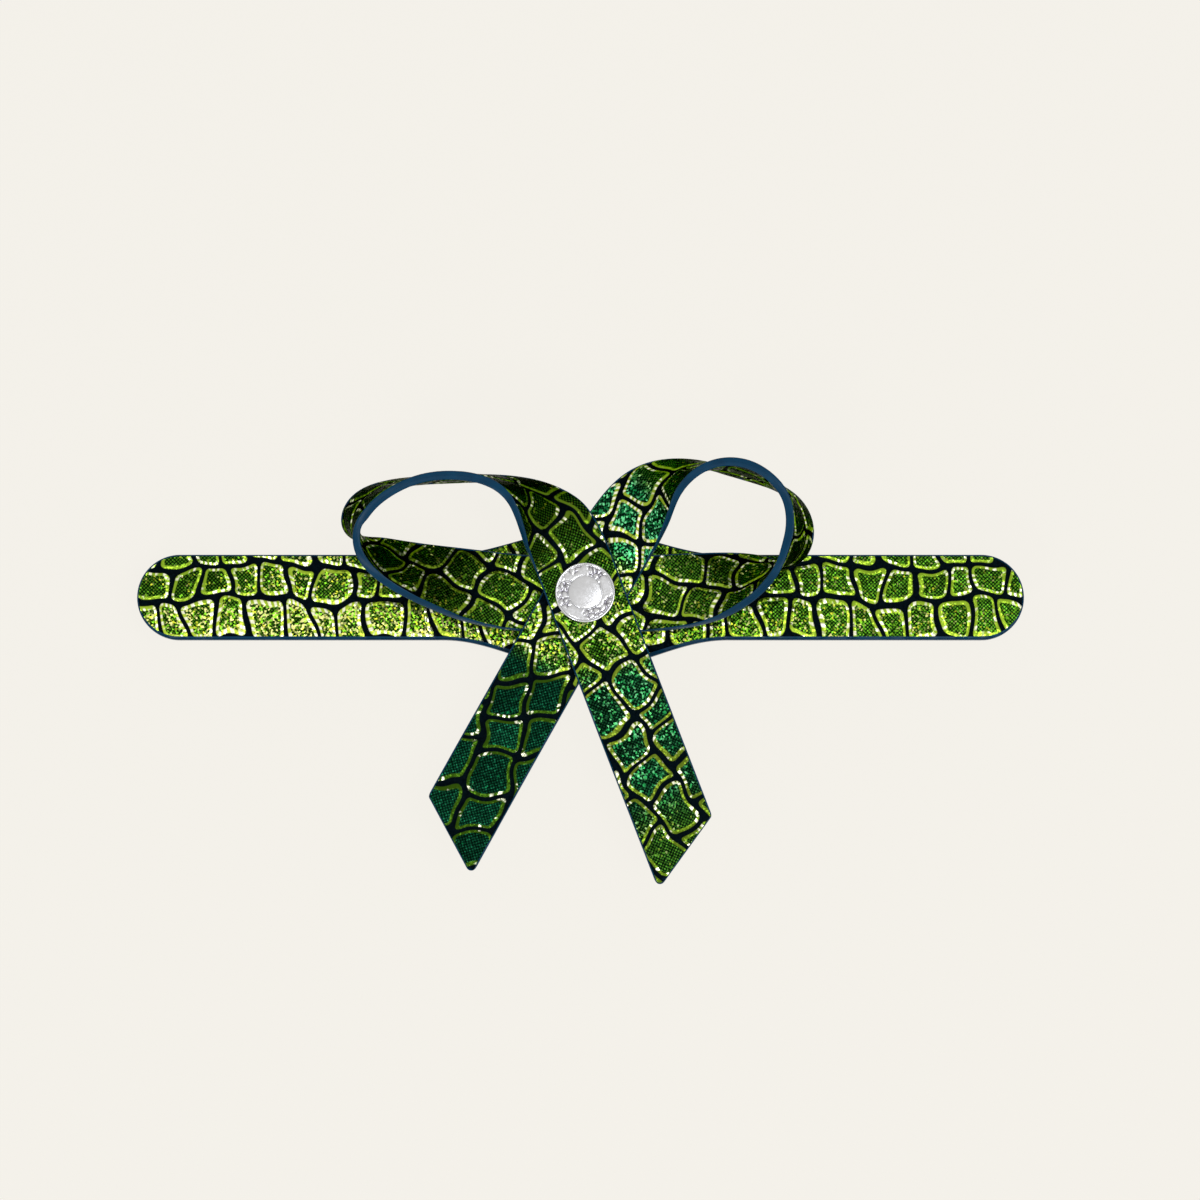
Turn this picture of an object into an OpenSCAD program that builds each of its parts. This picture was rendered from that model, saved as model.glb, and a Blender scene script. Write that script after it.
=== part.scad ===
// Bow hair clip: an embossed leather bow, press-studded to a long leather
// base strap, on a sprung alligator clip. It lies on its back, bow upwards.
// The origin is on the snap's axis, at the flat under the lower jaw.
// +X runs along the strap, +Z points out of the front, all in millimetres.

/* [Base strap] */
// Length of the base strap, end to end
strap_len = 187; // [150:1:230]
// Width of the base strap along its straight runs
strap_w = 18; // [14:0.5:22]
// How far the strap's middle lies along X from the snap
strap_shift = -1; // [-4:0.5:4]
// How far the middle of the strap swells past its straight edge, on the loops' side
swell_h = 5.4; // [4:0.2:8]
// The same swelling on the tails' side
swell_low_h = 6.4; // [4:0.2:8]
// Length of the swelling, end to end
swell_len = 60; // [48:2:76]
// Thickness of one layer of base strap leather
base_leather_t = 0.9; // [0.7:0.05:1.2]
// Thickness of the stiffener between the two leathers
core_t = 0.4; // [0.3:0.05:0.8]
// How far the stiffener stops short of the painted edge
core_margin = 2; // [1:0.25:3]

/* [Bow strap] */
// Width of the bow's strap
bow_w = 16; // [13:0.1:19.5]
// Thickness of one of the bow strap's two leathers
bow_leather_t = 0.95; // [0.75:0.05:0.95]
// Length of each tail from the snap to its point
tail_len = 63; // [50:1:63]
// How much shorter the tail's other edge is, which sets its slanted end
tail_slant = 10.3; // [0:0.1:16]

/* [Press stud] */
// Diameter of the cap
cap_d = 12.5; // [10:0.5:15]
// Height of the cap's rim
cap_h = 1.4; // [1.1:0.1:2]
// Thickness of the cap's sheet
cap_wall = 0.4; // [0.3:0.05:0.5]
// Outer diameter of both rivet posts
post_d = 3.4; // [2.8:0.1:3.8]
// Wall of both rivet posts
post_wall = 0.5; // [0.35:0.05:0.6]
// Diameter of the stud's head
stud_d = 5.8; // [5.2:0.1:7]
// Diameter of the stud's flange
stud_flange_d = 10; // [9:0.5:12]
// Outer diameter of the socket
socket_d = 10.8; // [9.5:0.1:12]
// Wire diameter of the ring spring in the socket
ring_wire = 0.6; // [0.4:0.05:0.65]

/* [Alligator clip] */
// Length of the clip, from its jaws' tips to its tab
clip_len = 75; // [65:1:90]
// Distance from the jaws' tips to the pivot
jaw_len = 52; // [44:1:55]
// Width of the upper arm
clip_w = 9.5; // [8:0.25:12]
// Thickness of the clip's sheet steel
sheet_t = 0.7; // [0.5:0.05:0.9]
// Height between the two arms behind the teeth
mouth_h = 8; // [7:0.25:9.5]
// Distance from the jaws' tips to the snap's axis
tip_to_snap = 38; // [34:1:42]
// Length of the toothed nose of the lower jaw
nose_len = 13; // [10:0.5:16]
// Pitch of the teeth
tooth_pitch = 1.6; // [1.2:0.1:2.4]
// Diameter of the pivot pin
pin_d = 2; // [1.6:0.1:2.4]
// Wire diameter of the clip's spring
spring_wire = 0.9; // [0.7:0.05:1]
// Mean diameter of the spring's coil
coil_d = 4.2; // [3.8:0.1:4.6]
// Whole turns in the spring's coil
coil_turns = 3; // [2:1:3]
// Diameter of the two rivets that hold the clip to the strap
rivet_d = 2; // [1.6:0.1:2.6]

/* [Fits] */
// Radial clearance of a post or rivet in its hole
post_clear = 0.05; // [0.02:0.01:0.1]
// Radial clearance of the lower jaw on the pivot pin
pin_clear = 0.05; // [0.02:0.01:0.1]
// Side clearance between the two arms' ears
ear_clear = 0.15; // [0.1:0.05:0.3]
// Radial clearance of the stud's head in the socket
stud_clear = 0.2; // [0.15:0.05:0.3]
// Gap between the socket's mouth and the stud's flange
socket_gap = 0.2; // [0.15:0.05:0.4]
// Gap between the teeth and the upper arm
tooth_gap = 0.2; // [0.1:0.05:0.4]

/* [Hidden] */
$fn = 64;
far = 200;

// Heights, from the resting plane upwards
arm_z = sheet_t + mouth_h;
back_z = arm_z + sheet_t;
core_z = back_z + base_leather_t;
front_z = core_z + core_t;
strap_top = front_z + base_leather_t;

// Press stud
post_r = post_d / 2;
hole_r = post_r + post_clear;
post_in = post_r - post_wall;
roll_r = post_r + 0.55;
flange_t = 0.6;
eyelet_t = 0.5;
stud_h = 2.3;
stud_r = stud_d / 2;
neck_r = stud_r - 0.4;
stud_top = strap_top + stud_h;
roll_t = 0.3;
stud_roll_z = stud_top - roll_t - 0.2;
socket_z = strap_top + flange_t + socket_gap;
socket_wall = 0.4;
socket_in = stud_r + stud_clear;
roof_z = stud_top + roll_t + 0.1;
socket_top = roof_z + socket_wall;
ring_r = neck_r + 0.1 + ring_wire / 2;
groove_gap = 0.05;
ring_z = socket_z + 0.2 + groove_gap + ring_wire / 2;
groove_r = ring_r + ring_wire / 2 + 0.3;
ring_gap_deg = 30;

// The bow strap's middle surface passes the snap three times: under, between, over
pass_gap = 0.4;
seat_gap = 0.05;
mid = 2 * bow_leather_t + pass_gap;
top = 2 * mid;
pass_low = socket_top + bow_leather_t + seat_gap;
cap_z = pass_low + top + bow_leather_t + seat_gap;

// The strap's control points, from the left tail's point to the right tail's.
// Each is x, y, its lower edge's height over the lowest pass, then the direction that
// the strap's width points in plan, and how steeply the width dips, in degrees.
stations = [
    [-31, -55.5, mid - 1.4, 151, 0], [-20.5, -36.5, mid - 0.6, 151, 0],
    [-10, -18, mid, 151, 0], [0, 0, mid, 151, 0], [4.5, 8, mid, 151, 0],
    [8.5, 14.5, mid - 1.6, 152, 13], [12.5, 20.5, -1, 154, 32],
    [18, 24.8, -2.5, 152, 56], [25.5, 27.2, -2.8, 150, 78],
    [33, 26.4, -2.7, -60, 84], [39.5, 23.5, -2.5, -20, 78],
    [44, 19, -2.6, -8, 73], [45.5, 13, -2.7, -5, 71],
    [43.2, 7.6, -3, -10, 74], [38.5, 4.6, -3, 70, 62],
    [31, 2.5, -2.7, 95, 38], [23, 1, -1.5, 98, 17],
    [13, 0.3, 0, 92, 0], [0, 0, 0, 90, 0], [-13, 0.3, 0, 90, 0],
    [-22, 1.5, -1.4, 86, 12], [-31, 3.5, -2.5, 80, 34],
    [-39.5, 6, -2.8, 78, 50], [-46, 9.3, -3, 80, 66],
    [-49.3, 14, -3, 175, 74], [-47.5, 18.6, -2.4, 140, 66],
    [-42, 22, -2.5, 115, 75], [-34, 24.2, -2.7, 95, 87],
    [-25, 24.6, -2.7, 60, 86], [-17, 23.4, -2.4, 38, 74],
    [-11.2, 20.5, top - 4.9, 28, 54], [-7, 15.5, top - 1.6, 20, 28],
    [-3.8, 10, top - 0.4, 21, 4], [-1.8, 5, top, 21, 0], [0, 0, top, 21, 0],
    [3.5, -9, top, 21, 0], [9, -23.5, top - 0.3, 21, 0],
    [16, -41.5, top - 1.5, 21, 0], [23, -59.5, top - 2.8, 21, 0]
];
steps = 4;
left_tail_dir = 241;
right_tail_dir = -69;

// Clip
tip_x = -tip_to_snap;
tab_x = tip_x + clip_len;
pivot_x = tip_x + jaw_len;
pivot_z = arm_z - 3.7;
ear_r = 2.7;
ear_in = clip_w / 2 - sheet_t;
jaw_w = 2 * (ear_in - ear_clear);
bend_x = tip_x + nose_len;
nose_top = arm_z - tooth_gap;
nose_floor = nose_top - 2;
nose_slope = atan2(nose_floor, nose_len);
tooth_h = 0.9;
tooth_run = nose_len - 3;
pin_r = pin_d / 2;
pin_head_r = pin_r + 0.6;
pin_head_t = 0.5;
rivet_r = rivet_d / 2;
rivet_head_r = rivet_r + 0.8;
rivet_head_t = 0.4;
rivet_x = [tip_x + 14, tab_x - 10];
coil_r = coil_d / 2;
leg_reach = 11;
wire_gap = 0.05;

// Cubic B-spline through a list's neighbours: a smooth curve with no kinks
function blend(a, b, c, d, u) =
    (pow(1 - u, 3) * a + (3 * pow(u, 3) - 6 * u * u + 4) * b
     + (-3 * pow(u, 3) + 3 * u * u + 3 * u + 1) * c + pow(u, 3) * d) / 6;

function unit(v) = v / norm(v);

// A station as one list of six numbers: its place, then its width direction
function knot(s) = [s.x, s.y, pass_low + s.z + bow_w / 2 * sin(s[4]),
                    cos(s[4]) * cos(s[3]), cos(s[4]) * sin(s[3]), -sin(s[4])];

body_knots = [for (s = stations) knot(s)];
last = len(body_knots) - 1;
knots = concat([2 * body_knots[0] - body_knots[1]], body_knots,
               [2 * body_knots[last] - body_knots[last - 1]]);

function path_at(t) =
    let (i = min(floor(t), last - 1), u = t - i)
    blend(knots[i], knots[i + 1], knots[i + 2], knots[i + 3], u);

function place(q) = [q[0], q[1], q[2]];
function width_dir(q) = [q[3], q[4], q[5]];

// One section of a strap layer: four corners between two depths of the strap
function section(t, low, high) =
    let (q = path_at(t), e = 0.02,
         along = unit(place(path_at(min(t + e, last)))
                      - place(path_at(max(t - e, 0)))),
         raw = width_dir(q),
         across = unit(raw - (raw * along) * along),
         up = cross(along, across),
         half = across * bow_w / 2)
    [place(q) - half + up * low, place(q) + half + up * low,
     place(q) + half + up * high, place(q) - half + up * high];

// A closed skin round rings of equal length. Its far half splits the other way, so
// that two layers with one shared surface meet without a gap.
module loft(rings) {
    n = len(rings[0]);
    m = len(rings);
    sides = [for (i = [0 : m - 2], j = [0 : n - 1], k = [0, 1])
        let (a = i * n + j, b = i * n + (j + 1) % n)
        j < n / 2 ? (k == 0 ? [a, a + n, b] : [b, a + n, b + n])
                  : (k == 0 ? [a, a + n, b + n] : [a, b + n, b])];
    caps = [[for (j = [0 : n - 1]) j],
            [for (j = [n - 1 : -1 : 0]) (m - 1) * n + j]];
    polyhedron([for (r = rings) each r], concat(sides, caps));
}

// What is cut off a tail beyond its slanted end
module tail_cut(direction, side) {
    rotate([0, 0, direction])
    translate([tail_len - tail_slant / 2, 0, 0])
    rotate([0, 0, side * atan(tail_slant / bow_w)])
    translate([0, -far / 2, 0])
    cube([far, far, far]);
}

module bow_layer(low, high) {
    difference() {
        loft([for (i = [0 : last * steps]) section(i / steps, low, high)]);
        cylinder(h = far, r = hole_r);
        tail_cut(left_tail_dir, -1);
        tail_cut(right_tail_dir, 1);
    }
}

// How far a swelling of height h stands past the straight edge at x
function swell_at(x, h) = h * (1 + cos(360 * x / swell_len)) / 2;

// One layer of the base strap: straight runs, round ends and the swelling
module strap_plate(t, margin) {
    edge = strap_w / 2 - margin;
    run = strap_len / 2 - strap_w / 2;
    xs = [for (i = [-16 : 16]) i * swell_len / 32];
    translate([strap_shift - run, -edge, 0]) cube([2 * run, 2 * edge, t]);
    for (s = [-1, 1])
        translate([strap_shift + s * run, 0, 0]) cylinder(h = t, r = edge);
    linear_extrude(t) polygon(concat(
        [for (x = xs) [x, edge + swell_at(x, swell_h)]],
        [for (i = [len(xs) - 1 : -1 : 0])
            [xs[i], -edge - swell_at(xs[i], swell_low_h)]]));
}

module strap_layer(z, t, margin, holes_r) {
    translate([0, 0, z])
    difference() {
        strap_plate(t, margin);
        translate([0, 0, -1]) cylinder(h = t + 2, r = hole_r);
        if (holes_r > 0)
            for (x = rivet_x) translate([x, 0, -1]) cylinder(h = t + 2, r = holes_r);
    }
}

module base_strap_front() {
    color("#2f7a22") strap_layer(front_z, base_leather_t, 0, 0);
}

module base_strap_core() {
    color("#b9a78a")
    strap_layer(core_z, core_t, core_margin, rivet_head_r + post_clear);
}

module base_strap_back() {
    color("#123c4c") strap_layer(back_z, base_leather_t, 0, rivet_r + post_clear);
}

module bow_strap_outer() {
    color("#2f7a22") bow_layer(0, bow_leather_t);
}

module bow_strap_lining() {
    color("#1f5a2a") bow_layer(-bow_leather_t, 0);
}

// Cap sheet, with its rolled edge and the raised smooth disc in its middle
module snap_cap() {
    r = cap_d / 2;
    disc_r = r * 0.56;
    color("silver")
    translate([0, 0, cap_z])
    rotate_extrude()
    difference() {
        union() {
            translate([0, 0.3]) square([r, cap_h - 0.6]);
            square([r - 0.3, cap_h]);
            translate([r - 0.3, 0.3]) circle(r = 0.3);
            translate([r - 0.3, cap_h - 0.3]) circle(r = 0.3);
            square([disc_r, cap_h + 0.3]);
        }
        translate([-1, -1]) square([r - cap_wall + 1, cap_h - cap_wall + 1]);
        translate([-far, -far / 2]) square([far, far]);
    }
}

// Disc inside the cap, and the hollow post that is rolled over in the socket
module cap_post() {
    disc_r = cap_d / 2 - cap_wall - 0.05;
    color("gainsboro")
    difference() {
        union() {
            translate([0, 0, cap_z]) cylinder(h = flange_t, r = disc_r);
            translate([0, 0, roof_z - roll_t])
                cylinder(h = cap_z + flange_t - roof_z + roll_t, r = post_r);
            translate([0, 0, roof_z - roll_t]) cylinder(h = roll_t, r = roll_r);
        }
        translate([0, 0, roof_z - roll_t - 1])
            cylinder(h = cap_z - roof_z + roll_t + 1, r = post_in);
    }
}

module snap_socket() {
    color("silver")
    difference() {
        translate([0, 0, socket_z])
            cylinder(h = socket_top - socket_z, r = socket_d / 2);
        translate([0, 0, socket_z - 1])
            cylinder(h = roof_z - socket_z + 1, r = socket_in);
        translate([0, 0, ring_z - ring_wire / 2 - groove_gap])
            cylinder(h = ring_wire + 2 * groove_gap, r = groove_r);
        translate([0, 0, roof_z - 1]) cylinder(h = far, r = hole_r);
    }
}

module snap_ring_spring() {
    color("goldenrod")
    translate([0, 0, ring_z])
    rotate([0, 0, ring_gap_deg / 2])
    rotate_extrude(angle = 360 - ring_gap_deg)
    translate([ring_r, 0])
    circle(r = ring_wire / 2, $fn = 24);
}

// Flange, waisted neck and rounded head, bored for the eyelet
module snap_stud() {
    lip = 0.3;
    color("silver")
    translate([0, 0, strap_top])
    rotate_extrude()
    difference() {
        union() {
            square([stud_flange_d / 2, flange_t]);
            square([neck_r, stud_h]);
            translate([0, stud_h - 2 * lip]) square([stud_r - lip, 2 * lip]);
            translate([stud_r - lip, stud_h - lip]) circle(r = lip);
        }
        translate([-1, -1]) square([hole_r + 1, stud_h + 2]);
        translate([-1, stud_roll_z - strap_top]) square([roll_r + 1.05, stud_h]);
        translate([-far, -far / 2]) square([far, far]);
    }
}

// Rivet from behind, through the clip's arm and the strap, rolled in the stud
module stud_eyelet() {
    color("gainsboro")
    difference() {
        union() {
            translate([0, 0, arm_z - eyelet_t]) cylinder(h = eyelet_t, r = clip_w / 2 - 0.6);
            translate([0, 0, arm_z - eyelet_t])
                cylinder(h = stud_roll_z + roll_t - arm_z + eyelet_t, r = post_r);
            translate([0, 0, stud_roll_z]) cylinder(h = roll_t, r = roll_r);
        }
        translate([0, 0, arm_z - 2]) cylinder(h = far, r = post_in);
    }
}

// Rounded plate under the strap, with two ears down to the pivot
module clip_upper_arm() {
    r = clip_w / 2;
    color("#c9ccd0")
    difference() {
        union() {
            translate([tip_x + r, -r, arm_z]) cube([clip_len - 2 * r, clip_w, sheet_t]);
            for (x = [tip_x + r, tab_x - r])
                translate([x, 0, arm_z]) cylinder(h = sheet_t, r = r);
            for (y = [-r, ear_in]) {
                translate([pivot_x - ear_r, y, pivot_z])
                    cube([2 * ear_r, sheet_t, arm_z + sheet_t / 2 - pivot_z]);
                translate([pivot_x, y + sheet_t, pivot_z])
                    rotate([90, 0, 0]) cylinder(h = sheet_t, r = ear_r);
            }
        }
        translate([0, 0, arm_z - 1]) cylinder(h = sheet_t + 2, r = hole_r);
        for (x = rivet_x)
            translate([x, 0, arm_z - 1]) cylinder(h = sheet_t + 2, r = rivet_r + post_clear);
        translate([pivot_x, clip_w, pivot_z])
            rotate([90, 0, 0]) cylinder(h = 2 * clip_w, r = pin_r);
    }
}

// Two rivets, each headed under the front leather and under the clip's arm
module clip_rivets() {
    shank = core_z + rivet_head_t - arm_z;
    color("gainsboro")
    for (x = rivet_x) translate([x, 0, arm_z]) {
        translate([0, 0, -rivet_head_t]) cylinder(h = shank + rivet_head_t, r = rivet_r);
        translate([0, 0, -rivet_head_t]) cylinder(h = rivet_head_t, r = rivet_head_r);
        translate([0, 0, core_z - arm_z]) cylinder(h = rivet_head_t, r = rivet_head_r);
    }
}

// Side view of the lower jaw's floor: flat, then rising to the tip
module jaw_side() {
    corner = sheet_t * tan(nose_slope / 2);
    rise = sheet_t / cos(nose_slope);
    polygon([[tab_x, 0], [bend_x, 0], [tip_x, nose_floor],
             [tip_x, nose_floor + rise], [bend_x + corner, sheet_t], [tab_x, sheet_t]]);
}

// Side view of a toothed rail along the nose
module tooth_rail() {
    count = floor(tooth_run / tooth_pitch);
    root = nose_top - tooth_h;
    polygon(concat(
        [[tip_x, nose_floor], [tip_x, root]],
        [for (i = [0 : count - 1], k = [0, 1])
            [tip_x + (i + (k + 1) / 2) * tooth_pitch, k == 0 ? nose_top : root]],
        [[tip_x + tooth_run, root - 2], [bend_x - 1, sheet_t], [bend_x, 0]]));
}

module clip_lower_jaw() {
    half = jaw_w / 2;
    color("#c9ccd0")
    difference() {
        union() {
            intersection() {
                translate([0, half, 0]) rotate([90, 0, 0]) linear_extrude(jaw_w) jaw_side();
                union() {
                    translate([tip_x, -half, -1]) cube([clip_len - half, jaw_w, far]);
                    translate([tab_x - half, 0, -1]) cylinder(h = far, r = half);
                }
            }
            for (y = [-half + sheet_t, half])
                translate([0, y, 0]) rotate([90, 0, 0]) linear_extrude(sheet_t) tooth_rail();
            for (y = [-half, half - sheet_t]) {
                translate([pivot_x - ear_r, y, sheet_t / 2])
                    cube([2 * ear_r, sheet_t, pivot_z - sheet_t / 2]);
                translate([pivot_x, y + sheet_t, pivot_z])
                    rotate([90, 0, 0]) cylinder(h = sheet_t, r = ear_r);
            }
        }
        translate([pivot_x, clip_w, pivot_z])
            rotate([90, 0, 0]) cylinder(h = 2 * clip_w, r = pin_r + pin_clear);
        for (i = [1 : 4])
            translate([tab_x - 2 * i, clip_w, -0.4])
                rotate([90, 0, 0]) cylinder(h = 2 * clip_w, r = 0.6);
    }
}

module clip_pivot_pin() {
    r = clip_w / 2;
    color("gainsboro")
    translate([pivot_x, 0, pivot_z])
    rotate([90, 0, 0]) {
        cylinder(h = clip_w, r = pin_r, center = true);
        for (s = [-1, 1])
            translate([0, 0, s * (r + pin_head_t / 2)])
                cylinder(h = pin_head_t, r = pin_head_r, center = true);
    }
}

// Torsion spring: one leg under the upper arm, the coil, one leg on the tab
module clip_spring() {
    wire_r = spring_wire / 2;
    low_end = [leg_reach, sheet_t + wire_r + wire_gap - pivot_z];
    top_end = [leg_reach, arm_z - wire_r - wire_gap - pivot_z];
    low_turn = atan2(low_end.y, low_end.x) - acos(coil_r / norm(low_end));
    top_turn = atan2(top_end.y, top_end.x) + acos(coil_r / norm(top_end)) - 360 * coil_turns;
    count = 18 * coil_turns;
    pitch = spring_wire + 0.05;
    sweep = low_turn - top_turn;
    width = pitch * sweep / 360;
    coil = [for (i = [0 : count])
        let (a = low_turn - sweep * i / count)
        [coil_r * cos(a), -width / 2 + width * i / count, coil_r * sin(a)]];
    path = concat([[low_end.x, -width / 2, low_end.y]], coil,
                  [[top_end.x, width / 2, top_end.y]]);
    end = len(path) - 1;
    rings = [for (i = [0 : end])
        let (t = unit(path[min(i + 1, end)] - path[max(i - 1, 0)]),
             side = unit(cross(t, [0, 1, 0])), top = cross(side, t))
        [for (k = [0 : 7]) path[i] + wire_r * (cos(45 * k) * side + sin(45 * k) * top)]];
    color("goldenrod") translate([pivot_x, 0, pivot_z]) loft(rings);
}

base_strap_front();
base_strap_core();
base_strap_back();
bow_strap_outer();
bow_strap_lining();
snap_cap();
cap_post();
snap_socket();
snap_ring_spring();
snap_stud();
stud_eyelet();
clip_upper_arm();
clip_rivets();
clip_lower_jaw();
clip_pivot_pin();
clip_spring();
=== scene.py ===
"""Finished surfaces of the bow hair clip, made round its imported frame, in metres."""
import math

import bmesh
import bpy
import numpy as np
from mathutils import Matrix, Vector, noise


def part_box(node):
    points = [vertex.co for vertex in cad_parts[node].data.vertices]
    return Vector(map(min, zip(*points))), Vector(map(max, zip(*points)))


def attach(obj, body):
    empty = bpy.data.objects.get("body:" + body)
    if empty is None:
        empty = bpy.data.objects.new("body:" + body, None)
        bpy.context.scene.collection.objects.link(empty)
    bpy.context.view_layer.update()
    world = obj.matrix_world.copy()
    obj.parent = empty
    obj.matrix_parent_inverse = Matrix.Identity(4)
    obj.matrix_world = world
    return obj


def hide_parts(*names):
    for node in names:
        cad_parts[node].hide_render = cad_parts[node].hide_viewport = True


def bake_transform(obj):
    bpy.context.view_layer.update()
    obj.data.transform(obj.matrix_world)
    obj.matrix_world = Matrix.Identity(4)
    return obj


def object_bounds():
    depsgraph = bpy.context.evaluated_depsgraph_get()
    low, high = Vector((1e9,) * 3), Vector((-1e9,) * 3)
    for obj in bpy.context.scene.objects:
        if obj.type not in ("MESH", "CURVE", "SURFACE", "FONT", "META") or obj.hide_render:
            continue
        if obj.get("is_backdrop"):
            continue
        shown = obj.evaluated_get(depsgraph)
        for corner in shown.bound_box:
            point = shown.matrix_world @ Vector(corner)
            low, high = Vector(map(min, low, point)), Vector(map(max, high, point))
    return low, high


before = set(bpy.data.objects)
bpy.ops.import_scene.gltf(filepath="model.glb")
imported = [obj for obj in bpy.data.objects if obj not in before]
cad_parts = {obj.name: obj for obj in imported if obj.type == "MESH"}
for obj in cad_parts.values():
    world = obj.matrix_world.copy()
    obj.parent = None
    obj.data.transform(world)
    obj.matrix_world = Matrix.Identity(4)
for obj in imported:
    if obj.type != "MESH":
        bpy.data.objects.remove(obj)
cad_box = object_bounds()

# ---------------------------------------------------------------- camera and stage
# The clip lies on its back on a pale board, seen from almost straight above, with
# the camera leaning five degrees towards the tails' side.
MM = 0.001
scene = bpy.context.scene
scene.view_settings.view_transform = "Standard"

camera_lean = math.radians(5)
camera_distance = 0.9
camera_aim = Vector((3.1, -0.6, 11.6)) * MM


def add_object(name, data):
    """A new object in the scene, at the origin."""
    thing = bpy.data.objects.new(name, data)
    scene.collection.objects.link(thing)
    return thing


lens_data = bpy.data.cameras.new("camera")
lens_data.sensor_width = 36
lens_data.lens = 128.1
lens_data.clip_start = 0.05
camera = add_object("camera", lens_data)
camera.location = camera_aim + camera_distance * Vector(
    (0, -math.sin(camera_lean), math.cos(camera_lean)))
camera.rotation_euler = (camera_lean, 0, 0)
scene.camera = camera


def srgb(code):
    """Linear colour with alpha from a six-digit sRGB hex value."""
    parts = [int(code[i:i + 2], 16) / 255 for i in (0, 2, 4)]
    return [c / 12.92 if c <= 0.04045 else ((c + 0.055) / 1.055) ** 2.4
            for c in parts] + [1]


def new_tree(owner):
    """The emptied node tree of a material or a world."""
    owner.use_nodes = True
    owner.node_tree.nodes.clear()
    return owner.node_tree


def add_node(tree, kind, settings=None, inputs=None):
    """A node with its settings, and its inputs given as values or as other sockets."""
    node = tree.nodes.new(kind)
    for name, value in (settings or {}).items():
        setattr(node, name, value)
    for name, value in (inputs or {}).items():
        if isinstance(value, bpy.types.NodeSocket):
            tree.links.new(value, node.inputs[name])
        else:
            node.inputs[name].default_value = value
    return node


def seen_directly(tree):
    """1 for rays that show a surface, straight or in metal or glass, and 0 for its light."""
    path = add_node(tree, "ShaderNodeLightPath")
    seen = add_node(tree, "ShaderNodeMath", {"operation": "MAXIMUM"},
                    {0: path.outputs["Is Camera Ray"], 1: path.outputs["Is Glossy Ray"]})
    seen = add_node(tree, "ShaderNodeMath", {"operation": "MAXIMUM"},
                    {0: seen.outputs[0], 1: path.outputs["Is Transmission Ray"]})
    return seen.outputs[0]


# The pale room: its own colour where it is seen, and half that strength as a light.
board_colour = srgb("F5F2EB")
room_light = 0.5

world = bpy.data.worlds.new("studio")
scene.world = world
tree = new_tree(world)
level = add_node(tree, "ShaderNodeMapRange", {}, {"Value": seen_directly(tree),
                                                  "To Min": room_light, "To Max": 1.0})
light = add_node(tree, "ShaderNodeBackground", {}, {"Color": board_colour,
                                                    "Strength": level.outputs[0]})
add_node(tree, "ShaderNodeOutputWorld", {}, {"Surface": light.outputs[0]})

# Matt painted board. Seen directly it shows mostly its own colour, so the clip's soft
# shadow stays faint, and from underneath it is clear, so the clip's back can be seen.
own_colour_share = 0.95
board_drop = 0.05

board_paint = bpy.data.materials.new("matt_white_board")
tree = new_tree(board_paint)
share = add_node(tree, "ShaderNodeMapRange", {}, {"Value": seen_directly(tree),
                                                  "To Max": own_colour_share})
matt = add_node(tree, "ShaderNodeBsdfDiffuse", {}, {"Color": board_colour})
plain = add_node(tree, "ShaderNodeEmission", {}, {"Color": board_colour})
mixed = add_node(tree, "ShaderNodeMixShader", {}, {0: share.outputs[0], 1: matt.outputs[0],
                                                   2: plain.outputs[0]})
clear = add_node(tree, "ShaderNodeBsdfTransparent")
face = add_node(tree, "ShaderNodeNewGeometry")
mixed = add_node(tree, "ShaderNodeMixShader", {}, {0: face.outputs["Backfacing"],
                                                   1: mixed.outputs[0],
                                                   2: clear.outputs[0]})
add_node(tree, "ShaderNodeOutputMaterial", {}, {"Surface": mixed.outputs[0]})

board_mesh = bpy.data.meshes.new("board")
bm = bmesh.new()
bmesh.ops.create_grid(bm, x_segments=1, y_segments=1, size=2)
bmesh.ops.translate(bm, vec=(0, 0, -board_drop * MM), verts=bm.verts)
bm.to_mesh(board_mesh)
bm.free()
board_mesh.materials.append(board_paint)
board = add_object("board", board_mesh)
board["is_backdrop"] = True

# A wide soft box overhead, and a smaller one low on the tails' side that picks out
# the foil's glints.
for name, place, size, watts in (("overhead", (0.24, -0.12, 0.9), 0.35, 2.4),
                                 ("glint", (-0.3, -0.55, 0.65), 0.16, 1.2)):
    lamp_data = bpy.data.lights.new(name, "AREA")
    lamp_data.size = size
    lamp_data.energy = watts
    lamp = add_object(name, lamp_data)
    lamp.location = place
    lamp.rotation_euler = (camera_aim - Vector(place)).to_track_quat("-Z", "Y").to_euler()

# ---------------------------------------------------------------- base strap
# Two leathers glued over a stiffener and die cut to one outline, which swells behind
# the bow. The front is calf stamped with crocodile scales and foiled green, the back
# is smooth calf, and the cut edge is painted blue in several coats.
strap_len = 187
strap_half = 9
strap_shift = -1
swell_h = 5.4
swell_low_h = 6.4
swell_len = 60
edge_round = 0.3
mesh_pitch = 0.34
weld = 0.001
groove_depth = 0.24
crown_depth = 0.07
strap_back_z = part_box("base_strap_back")[0][2] / MM
strap_core_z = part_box("base_strap_core")[0][2] / MM
strap_front_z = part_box("base_strap_front")[0][2] / MM
strap_top_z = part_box("base_strap_front")[1][2] / MM
strap_seam_z = (strap_core_z + strap_front_z) / 2


def smooth_step(low, high, x):
    """0 below low and 1 above high, with a smooth rise between."""
    t = np.clip((x - low) / (high - low), 0, 1)
    return t * t * (3 - 2 * t)


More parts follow.
